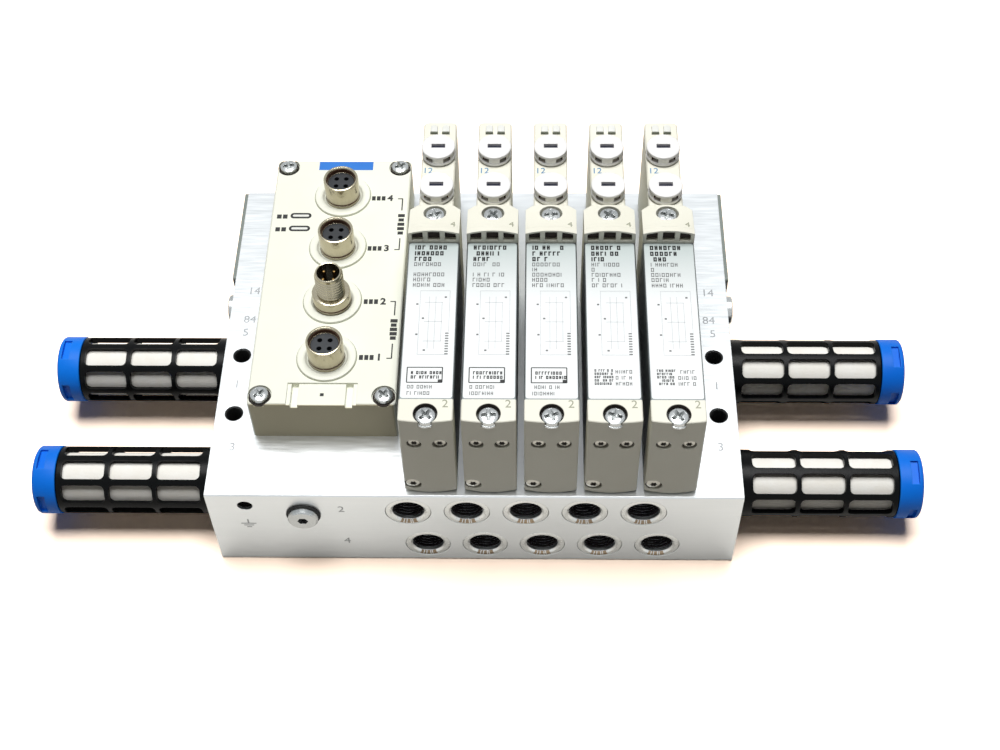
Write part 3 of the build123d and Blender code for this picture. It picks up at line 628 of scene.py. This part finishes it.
cap_end = cage_length + 7.5
cap_seat = cage_length - 1.4
end_cap = spun(
    (
        (0, cap_end), (4.5, cap_end - 0.2), (8.2, cap_end - 0.75), (8.95, cap_end - 0.95),
        (9.4, cap_end - 1.25), (9.65, cap_end - 1.7), (9.65, cage_length + 0.2), (9.45, cage_length),
        (7.74, cage_length), (7.74, cap_seat), (0, cap_seat),
    ),
    96,
)
notch_depth = 2.2
notches = [
    turned(block((2.6, 6.8, notch_depth), (9.65, 0, cap_end - notch_depth - 1.1)), radians(-90 * quarter))
    for quarter in range(4)
]
cap_pattern = cut(end_cap, joined(notches))
insert_pattern = spun(
    ((0, 41.1), (5.24, 41.1), (5.24, 1.9), (7.64, 1.9), (7.64, cap_seat), (0, cap_seat)), 64
)

along_right = Matrix(((0, 0, 1, 0), (-1, 0, 0, 0), (0, -1, 0, 0), (0, 0, 0, 1)))
mirrored = Matrix.Diagonal((-1, 1, 1, 1))


def fitted(pattern, place, turn, left):
    """A copy of a silencer's shape, turned on its own axis and screwed into the rail."""
    shape = placed(pattern.copy(), place @ Matrix.Rotation(radians(-turn), 4, "Z"))
    if left:
        bmesh.ops.reverse_faces(shape, faces=shape.faces)
    return shape


inserts = []
for name, cage_turn, cap_turn in (
    ("3_right", 11, 78), ("3_left", 30, 6), ("5_right", 14, 83), ("5_left", 32, 2),
):
    low, high = corners(f"silencer_cage_{name[0]}_right")
    place = at(end_x, (low.y + high.y) / 2, (low.z + high.z) / 2) @ along_right
    left = name.endswith("left")
    if left:
        place = mirrored @ place
    cage = fitted(cage_pattern, place, cage_turn, left)
    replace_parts(finish(cage, f"windowed_cage_{name}", black), f"silencer_cage_{name}")
    cap = fitted(cap_pattern, place, cap_turn, left)
    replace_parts(finish(cap, f"notched_cap_{name}", blue), f"silencer_cap_{name}")
    inserts.append(fitted(insert_pattern, place, 0, left))
for pattern in (cage_pattern, cap_pattern, insert_pattern):
    pattern.free()
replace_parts(finish(joined(inserts), "porous_inserts", porous), "silencer_filters")

# Round connectors: three sockets and one plug with a cut thread
connector_x = interface_x + 0.4
connectors = [at(connector_x, front_y + 35.3 + 20.0 * i, interface_top) for i in range(4)]
plug_place = connectors[1]
socket_places = [place for place in connectors if place is not plug_place]
socket = spun(
    (
        (3.9, -2.5), (5.05, -2.5), (5.05, 0.75), (4.95, 0.85), (4.7, 0.85), (4.7, 1.4), (4.95, 1.4),
        (5.05, 1.5), (5.05, 7.35), (4.96, 7.6), (4.75, 7.7), (4.5, 7.7), (4.25, 7.5), (4.15, 7.2),
        (4.15, 5.9), (3.9, 5.9),
    ),
    72, closed=True,
)
plug = spun(
    (
        (3.2, -2.5), (5.4, -2.5), (5.4, 0.75), (5.3, 0.85), (5.05, 0.85), (5.05, 1.4), (5.3, 1.4),
        (5.4, 1.5), (5.4, 4.1), (5.3, 4.3), (5.1, 4.4), (3.72, 4.4), (3.72, 12.2), (3.6, 12.5),
        (3.45, 12.6), (3.2, 12.5),
    ),
    72, closed=True,
)
plug_thread = placed(thread(3.7, 4.0, 1.0, 7, 36), at(0, 0, 12.2))
shells = [copies(socket, socket_places), placed(joined([plug, plug_thread]), plug_place)]
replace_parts(finish(joined(shells), "turned_connectors", nickel), "connector_shells")

# Painted shade: dark brown rings in the sockets' and plug's base grooves and on the sockets' inner walls
inner_wall_shade = spun(((3.99, 5.92), (4.13, 5.92), (4.13, 7.15), (4.07, 7.15)), 64, closed=True)
groove_shades = [
    copies(ring(4.66, 5.0, 0.88, 1.37, 72), socket_places),
    placed(ring(5.0, 5.35, 0.88, 1.37, 72), plug_place),
    copies(inner_wall_shade, socket_places),
]
finish(joined(groove_shades), "painted_shade_connector_grooves", painted_brown_shade)

contacts = [(2.0 * cos(radians(turn)), 2.0 * sin(radians(turn))) for turn in (45, 135, 225, 315)]
carrier = spun(((0, -2.5), (3.85, -2.5), (3.85, 5.8), (3.75, 5.9), (0, 5.9)), 48)
carrier = cut(carrier, joined([cone(0.7, 0.7, 3.0, at(x, y, 5.2), 20) for x, y in contacts]))
carriers = [copies(carrier, socket_places), placed(disc(3.15, -2.5, 4.5, 48), plug_place)]
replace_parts(finish(joined(carriers), "contact_carriers", slate), "contact_inserts")
pin = spun(((0, 4.4), (0.5, 4.4), (0.5, 11.0), (0.35, 11.3), (0, 11.4)), 20)
pins = copies(pin, [plug_place @ at(x, y, 0) for x, y in contacts])
finish(pins, "contact_pins", brass)

collar = spun(
    (
        (5.5, -0.1), (8.12, -0.1), (8.12, 0.4), (8.05, 0.55), (7.9, 0.62), (6.1, 0.62), (5.95, 0.55),
        (5.88, 0.4), (5.5, 0.1),
    ),
    96, closed=True,
)
finish(copies(collar, connectors), "raised_rings", cream)
# Painted shadow: a thin olive line round the foot of each raised ring
ring_foot_shadows = copies(ring(8.1, 8.36, 0.0, 0.03, 96), connectors)
finish(ring_foot_shadows, "painted_shadow_ring_feet", ink_olive)

# Work ports: a faced seat, a chamfer, a thread, and on the lower chamfer a strip of painted reflection with
# bright painted glints
port_radius = 4.42
chamfer_radius = 4.95
chamfer_foot, seat_height = -0.5, -0.02
port_places = [
    at(x + shift, front_y, height) @ facing_front
    for shift, height in ((-6.6, 25.3), (-2.0, 8.5)) for x in valve_x
]
port_seat = spun(
    (
        (6.26, -0.5), (6.26, -0.3), (6.1, -0.06), (6.0, seat_height), (chamfer_radius, seat_height),
        (port_radius, chamfer_foot),
    ),
    72, closed=True,
)
finish(copies(port_seat, port_places), "port_seats", seat_metal)
port_thread = placed(thread(4.45, 4.1, 0.907, 8, 32), at(0, 0, -0.95))
port_threads = copies(port_thread, port_places)


def chamfer_arc(middle, reach, lift):
    """A strip lying on the chamfer and the seat, centred on an angle in degrees."""
    seat_edge = 5.7
    section = (
        (seat_edge, seat_height + lift), (chamfer_radius - 0.3 * lift, seat_height + lift),
        (port_radius - 0.67 * lift, chamfer_foot + 0.74 * lift),
        (port_radius, chamfer_foot), (chamfer_radius, seat_height), (seat_edge, seat_height),
    )
    strip = swept(section, radians(reach), max(2, round(reach / 6)))
    return turned(strip, radians(middle - reach / 2))


# Painted reflection and painted glints on the lower chamfer, where the thread runs out
chamfer_reflections = copies(chamfer_arc(-90, 52, 0.02), port_places)
finish(chamfer_reflections, "painted_chamfer_reflections", chamfer_reflection_metal)
chamfer_glints = copies(joined([chamfer_arc(angle, 3, 0.04) for angle in (-106, -97, -84, -78)]), port_places)
finish(chamfer_glints, "painted_chamfer_glints", seat_metal)

earth_x, earth_z = -62.1, 28.0
earth_thread = placed(thread(2.13, 1.9, 0.8, 8, 20), at(earth_x, front_y + 0.3, earth_z) @ facing_front)
supply_threads = copies(
    thread(5.85, 5.45, 1.337, 8, 32),
    [at(side * (end_x - 0.4), front_y + 37.0, 15.0) @ facing_end[side] for side in (-1, 1)],
)
# The threads take the near-black painted shade
finish(joined([port_threads, earth_thread, supply_threads]), "port_threads", shaded_thread_metal)

# Mounting holes, dark inside by painted shade, and the plug in the rail's front, with a dark disc of painted
# shade in its hex
hole_span_x, hole_span_y, hole_setback = 134.8, 20.3, 37.15
hole_shade_lining = spun(
    ((2.55, -0.03), (2.17, -0.43), (2.17, -24.0), (2.195, -24.0), (2.195, -0.4), (2.585, -0.015)), 40,
    closed=True,
)
hole_places = [
    at(side * hole_span_x / 2, front_y + hole_setback + end * hole_span_y / 2, rail_top)
    for side in (-1, 1) for end in (-1, 1)
]
front_plug_x, front_plug_z = -46.6, 23.8
plug_face_y = corners("port_plugs")[0].y
hex_shade_disc = placed(disc(1.2, -1.45, -1.15, 6), at(front_plug_x, plug_face_y, front_plug_z) @ facing_front)
finish(joined([copies(hole_shade_lining, hole_places), hex_shade_disc]), "painted_shade_hole_linings", rubber)
seal_ring = spun(((4.0, 0.0), (4.6, 0.0), (4.75, 0.3), (4.6, 0.6), (4.0, 0.6)), 40, closed=True)
seal_ring = placed(seal_ring, at(front_plug_x, front_y, front_plug_z) @ facing_front)
finish(seal_ring, "plug_seal", rubber)

# Vent windows are dark at their backs: blocks of painted shade
sill = 1.02
back_thickness = 0.5
vent_shades = []
for x in valve_x:
    for middle, width, top in ((0, 3.3, 4.33), (-4.525, 3.05, 3.5), (4.525, 3.05, 3.5)):
        height = top - sill
        centre = (x + middle, hood_front + 1.1 + back_thickness / 2, valve_top + sill + height / 2)
        vent_shades.append(block((width - 0.04, back_thickness, height), centre))
finish(joined(vent_shades), "painted_vent_shades", painted_shade_coat)


# A thin skin on each hood's roof, over the back ends of its windows

def roof_height(across, back):
    """The roof's height over the valve's top: an arch that falls and flattens to the back."""
    half_width, depth = 7.0, 12.1
    heights = []
    for edge, rise in ((3.75, 1.25), (1.6, 0.6)):
        arch = (half_width**2 + rise**2) / (2 * rise)
        heights.append(edge + rise - arch + (arch**2 - across**2) ** 0.5)
    return heights[0] + (heights[1] - heights[0]) * back / depth


skin_above, skin_below = 0.012, -0.2
skins = []
for x in valve_x:
    skin = bmesh.new()
    bmesh.ops.create_grid(
        skin, x_segments=16, y_segments=3, size=1, matrix=at(0, 2.75, 0) @ Matrix.Diagonal((6.5, 0.65, 1, 1))
    )
    raised = bmesh.ops.extrude_face_region(skin, geom=skin.faces[:])
    lifted = {part for part in raised["geom"] if isinstance(part, bmesh.types.BMVert)}
    for point in skin.verts:
        offset = skin_above if point in lifted else skin_below
        point.co.z = valve_top + roof_height(point.co.x, point.co.y) + offset
    bmesh.ops.translate(skin, vec=(x, hood_front, 0), verts=skin.verts)
    bmesh.ops.recalc_face_normals(skin, faces=skin.faces)
    skins.append(skin)
finish(joined(skins), "hood_roof_skins", ivory)

# Lamps: a lens with a round back, and before it a dark olive band of painted shade on its front
lenses, lamp_shade_bands = [], []
for x in valve_x:
    for side in (-1, 1):
        lamp_x = x + side * 1.7
        lens = block((2.1, 2.7, 1.3), (lamp_x, front_y + 104.6, valve_top + 0.1))
        upright = [edge for edge in lens.edges if fall_of(edge) > 1 and edge.verts[0].co.y > front_y + 105]
        soften(lens, upright, 0.95, 6)
        top = [edge for edge in lens.edges if all(point.co.z > valve_top + 0.7 for point in edge.verts)]
        soften(lens, top, 0.25, 3)
        lenses.append(lens)
        shade_band_centre = (lamp_x, front_y + 103.0, valve_top + 0.12)
        lamp_shade_bands.append(block((2.2, 0.55, 0.8), shade_band_centre, corner=0.1, segments=2))
light_x = interface_x - 11.4
light_y = (front_y + 82.5, front_y + 87.5)
for y in light_y:
    lenses.append(block((5.5, 1.45, 1.0), (light_x, y, interface_top - 0.5), corner=0.7, segments=6))
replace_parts(finish(joined(lenses), "light_lenses", frosted), "light_pipes")
finish(joined(lamp_shade_bands), "painted_shade_lamp_bands", lamp_shade_olive)

# Print on the interface: outlined light bars, brackets, plain numbers and bars for their names
film = 0.03


def mark(marks, x, y, width, length, base=interface_top, thick=film, corner=0.0):
    """Adds a flat rectangle that lies on a base height."""
    marks.append(block((width, length, thick), (x, y, base + thick / 2), corner=corner, segments=5))


black_marks, blue_marks, pale_bars = [], [], []
for y in light_y:
    mark(black_marks, light_x, y, 6.2, 2.15, corner=1.05)
    mark(pale_bars, light_x, y, 4.8, 0.85, thick=0.05, corner=0.42)
finish(joined(pale_bars), "light_bars", frosted)

for numeral, x, y in (("1", -26.3, -20.2), ("2", -26.3, -0.5), ("3", -26.5, 19.3), ("4", -26.5, 38.9)):
    black_marks.append(lettering(numeral, 2.2, at(x, y, interface_top), film, 0.12))
    for step in range(3):
        mark(black_marks, x - 4.9 + step * 1.45, y, 1.1, 1.7)
# Each bracket joins two connectors, and leaves a gap for a column of bars
bracket_x = -22.85
line = 0.36
gap = 1.2
for top, bottom, bars_top, bars_bottom in ((38.74, 18.87, 32.9, 24.4), (-0.42, -20.45, -6.6, -14.2)):
    for y in (top, bottom):
        mark(black_marks, bracket_x - 0.65, y, 1.5, line)
    mark(black_marks, bracket_x, (top + bars_top + gap) / 2, line, top - bars_top - gap)
    mark(black_marks, bracket_x, (bottom + bars_bottom - gap) / 2, line, bars_bottom - bottom - gap)
    count = round((bars_top - bars_bottom) / 1.65)
    for step in range(count):
        y = bars_bottom + (step + 0.5) * (bars_top - bars_bottom) / count
        mark(black_marks, bracket_x, y, 2.0 if step % 3 else 1.6, 1.2)
for y in (31.6, 26.6):
    for step in range(2):
        mark(black_marks, interface_x - 17.75 + step * 1.75, y, 1.35, 1.6)
mark(blue_marks, interface_x + 0.5, 52.1, 16.2, 3.4)
# The small dark mark in the label's field at the front stands in a shallow recess
eye_size, eye_depth, field_depth = 0.96, 0.6, 0.55
eye_z = interface_top - field_depth - eye_depth / 2
black_marks.append(block((eye_size, eye_size, eye_depth), (interface_x, interface_front + 3.6, eye_z)))
finish(joined(black_marks), "interface_print", ink_black)
finish(joined(blue_marks), "interface_stripe", ink_blue)

# Labels on the valves
labels, dark_print, grey_print, pale_print = [], [], [], []
label_front = front_y + 8.4
label_back = front_y + 61.1
label_film = 0.08
label_top = valve_top + label_film
# Each glyph's width as a share of its height, and its upright strokes
glyphs = {
    "box": (0.62, (0, 1)), "bar": (0.2, (0,)), "corner": (0.55, (0,)), "bars": (0.55, (0, 1)),
    "space": (0.3, ()),
}
draw = random.Random(7)


def row(marks, left, y, width, height):
    """A row of small boxes, bars and corners as long as a line of small print."""
    reach = 0.0
    pen = (0.25 if marks is dark_print else 0.17) * height
    while reach < width:
        kind = draw.choice(("box", "box", "bar", "corner", "bars", "space"))
        share, uprights = glyphs[kind]
        wide = height * share
        start = left + reach
        middle = start + wide / 2
        for side in uprights:
            mark(marks, start + pen / 2 + side * (wide - pen), y, pen, height, label_top)
        if kind in ("box", "corner"):
            mark(marks, middle, y + (height - pen) / 2, wide, pen, label_top)
        if kind in ("box", "bars"):
            mark(marks, middle, y - (height - pen) / 2 * (kind == "box"), wide, pen, label_top)
        reach += wide + 0.24 * height


# Rows of print from the back forwards: distance from the rail's front, length and height
back_rows = (
    (59.3, 8.2, 1.5), (57.2, 7.2, 1.5), (55.2, 4.0, 1.5), (53.3, 7.0, 1.3), (51.5, 0.8, 1.3),
    (49.7, 8.0, 1.3), (47.9, 4.2, 1.3), (46.0, 8.4, 1.3),
)
dark_rows = 3
framed_labels = 3
cross_lines = ((-2.9, 5.0, 44.0), (-2.9, 5.0, 22.6), (-1.6, 3.2, 40.0), (-1.6, 3.2, 33.5), (-1.6, 3.2, 27.0))
long_lines = ((-2.9, 22.6, 44.0), (5.0, 30.0, 44.0), (-0.4, 24.5, 42.0), (1.3, 24.5, 42.0), (3.0, 27.0, 40.0))
dots = ((-3.6, 39.4), (-3.4, 29.2), (-1.9, 34.6), (3.9, 41.8), (-1.2, 24.0))
fine_line, frame_line = 0.14, 0.28
for number, x in zip(valve_numbers, valve_x):
    labels.append(block(
        (13.3, label_back - label_front - 0.5, label_film),
        (x, (label_front + label_back) / 2, valve_top + label_film / 2), corner=0.7, segments=3,
    ))
    for place, (y, width, height) in enumerate(back_rows):
        row(dark_print if place < dark_rows else grey_print, x - 5.1, front_y + y, width, height)
    for left, right, y in cross_lines:
        mark(pale_print, x + (left + right) / 2, front_y + y, right - left, fine_line, label_top)
    for left, front, back in long_lines:
        mark(pale_print, x + left, front_y + (front + back) / 2, fine_line, back - front, label_top)
    for left, y in dots:
        mark(grey_print, x + left, front_y + y, 0.6, 0.5, label_top)
    for step in range(9):
        mark(grey_print, x + 4.6, front_y + 22.8 + step * 0.85, 0.9, 0.4, label_top)
    if number <= framed_labels:
        for y in (13.6, 18.4):
            mark(dark_print, x - 0.65, front_y + y, 9.1, frame_line, label_top)
        for left in (-5.2, 3.9):
            mark(dark_print, x + left, front_y + 16.0, frame_line, 4.8, label_top)
        for y in (16.7, 15.3):
            row(dark_print, x - 4.2, front_y + y, 7.4, 1.0)
        mark(dark_print, x + 3.3, front_y + 14.1, 1.0, 0.9, label_top)
        for y, width in ((12.2, 6.6), (10.2, 6.0)):
            row(grey_print, x - 5.0, front_y + y, width, 1.1)
    else:
        for step in range(5):
            row(dark_print, x - 5.0, front_y + 17.6 - step * 1.05, 4.4, 0.75)
        for step in range(3):
            row(grey_print, x + 0.4, front_y + 17.2 - step * 1.9, 4.2, 1.1)
finish(joined(labels), "valve_labels", paper)
finish(joined(dark_print), "label_print_dark", ink_black)
finish(joined(grey_print), "label_print_grey", ink_grey)
finish(joined(pale_print), "label_print_pale", ink_pale)

# Numbers moulded in the covers, printed on the pilots and stamped in the rail
moulded, printed, stamped = [], [], []
hood_slope = Matrix.Rotation(radians(-11.4), 4, "X") @ Matrix.Rotation(radians(13.0), 4, "Y")
for x in valve_x:
    moulded.append(lettering("2", 2.4, at(x + 4.95, front_y + 6.9, valve_top)))
    moulded.append(lettering("4", 2.1, at(x + 5.2, front_y + 64.6, valve_top + 3.62) @ hood_slope))
    printed.append(lettering("12", 2.1, at(x - 2.9, front_y + 88.2, valve_top)))
finish(joined(moulded), "moulded_numbers", ink_olive)
finish(joined(printed), "pilot_numbers", ink_sky)
stamp_film = 0.02
for words, x, y in (
    ("14", -66.5, 71.1), ("84", -66.6, 60.4), ("5", -67.3, 55.6), ("1", -67.7, 37.0), ("3", -66.6, 15.7),
    ("14", 67.0, 70.8), ("84", 66.7, 60.5), ("5", 67.6, 55.6), ("1", 67.5, 37.1), ("3", 67.25, 16.4),
):
    stamped.append(lettering(words, 2.6, at(x, front_y + y, rail_top), stamp_film))
for words, x, z in (("2", -36.1, 26.35), ("4", -35.8, 9.9)):
    stamped.append(lettering(words, 2.8, at(x, front_y, z) @ facing_front, stamp_film))
# The earth sign: three bars, each shorter than the last, under an upright
for width, height, z in ((4.2, 0.4, 18.9), (2.8, 0.4, 18.0), (1.4, 0.4, 17.1), (0.4, 2.0, 20.0)):
    stamped.append(block((width, 0.03, height), (-62.3, front_y - 0.01, z)))
finish(joined(stamped), "stamped_numbers", engraved)

# Floor, light and camera
floor_shape = bmesh.new()
bmesh.ops.create_grid(floor_shape, x_segments=1, y_segments=1, size=4.0)
floor = in_scene("floor", as_mesh(floor_shape, "floor"))


def by_path(tree, seen, mirrored, felt):
    """One colour for the eye, one for reflections, another for the light that is thrown on."""
    path = add_node(tree, "ShaderNodeLightPath", {}).outputs
    before = worked_out(tree, "LESS_THAN", path["Diffuse Depth"], 0.5)
    direct = worked_out(tree, "MULTIPLY", path["Is Glossy Ray"], before)
    colour = (*felt, 1)
    for factor, value in (
        (direct, mirrored), (path["Is Transmission Ray"], seen), (path["Is Camera Ray"], seen),
    ):
        colour = mixed(tree, factor, colour, (*value, 1))
    return colour


floor_finish = bpy.data.materials.new("studio floor")
floor_finish.use_nodes = True
tree = floor_finish.node_tree
tree.nodes.clear()
floor_colour = by_path(tree, seen=(2.3, 1.88, 1.55), mirrored=(0.94, 0.91, 0.85), felt=(0.345, 0.335, 0.318))
matt = add_node(tree, "ShaderNodeBsdfDiffuse", {"Color": floor_colour}).outputs["BSDF"]
# Far from the object, where the lamp's light falls off, the eye sees plain white
floor_place = add_node(tree, "ShaderNodeTexCoord", {}).outputs["Object"]
reach = add_node(tree, "ShaderNodeVectorMath", {0: floor_place}, operation="LENGTH").outputs["Value"]
seen_by_eye = add_node(tree, "ShaderNodeLightPath", {}).outputs["Is Camera Ray"]
far_seen = worked_out(tree, "MULTIPLY", ranged(tree, reach, 0.45, 0.9), seen_by_eye)
white_glow = add_node(tree, "ShaderNodeEmission", {"Color": (1, 1, 1, 1)}).outputs["Emission"]
near_or_far = add_node(tree, "ShaderNodeMixShader", {"Fac": far_seen, 1: matt, 2: white_glow})
add_node(tree, "ShaderNodeOutputMaterial", {"Surface": near_or_far.outputs["Shader"]})
floor.data.materials.append(floor_finish)

world = bpy.data.worlds.new("studio")
bpy.context.scene.world = world
world.use_nodes = True
sky = world.node_tree
sky_colour = by_path(sky, seen=(1, 1, 1), mirrored=(0.82, 0.85, 0.87), felt=(0.035, 0.032, 0.03))
sky.links.new(sky_colour, sky.nodes["Background"].inputs["Color"])

lamp = bpy.data.lights.new("softbox", "AREA")
lamp.shape = "SQUARE"
lamp.size = 0.9
lamp.energy = 29.0
in_scene("softbox", lamp).location = (-0.05, 0.15, 1.6)

azimuth, elevation, roll = radians(2.021), radians(53.471), radians(-1.403)
camera_data = bpy.data.cameras.new("camera")
camera_data.lens = 56.92
camera_data.sensor_width = 36.0
camera_data.clip_start = 0.01
camera = in_scene("camera", camera_data)
camera.matrix_world = (
    at(0.015968, -0.281024, 0.392620)
    @ Matrix.Rotation(azimuth, 4, "Z")
    @ Matrix.Rotation(pi / 2 - elevation, 4, "X")
    @ Matrix.Rotation(roll, 4, "Z")
)
bpy.context.scene.camera = camera
bpy.context.scene.view_settings.view_transform = "Standard"
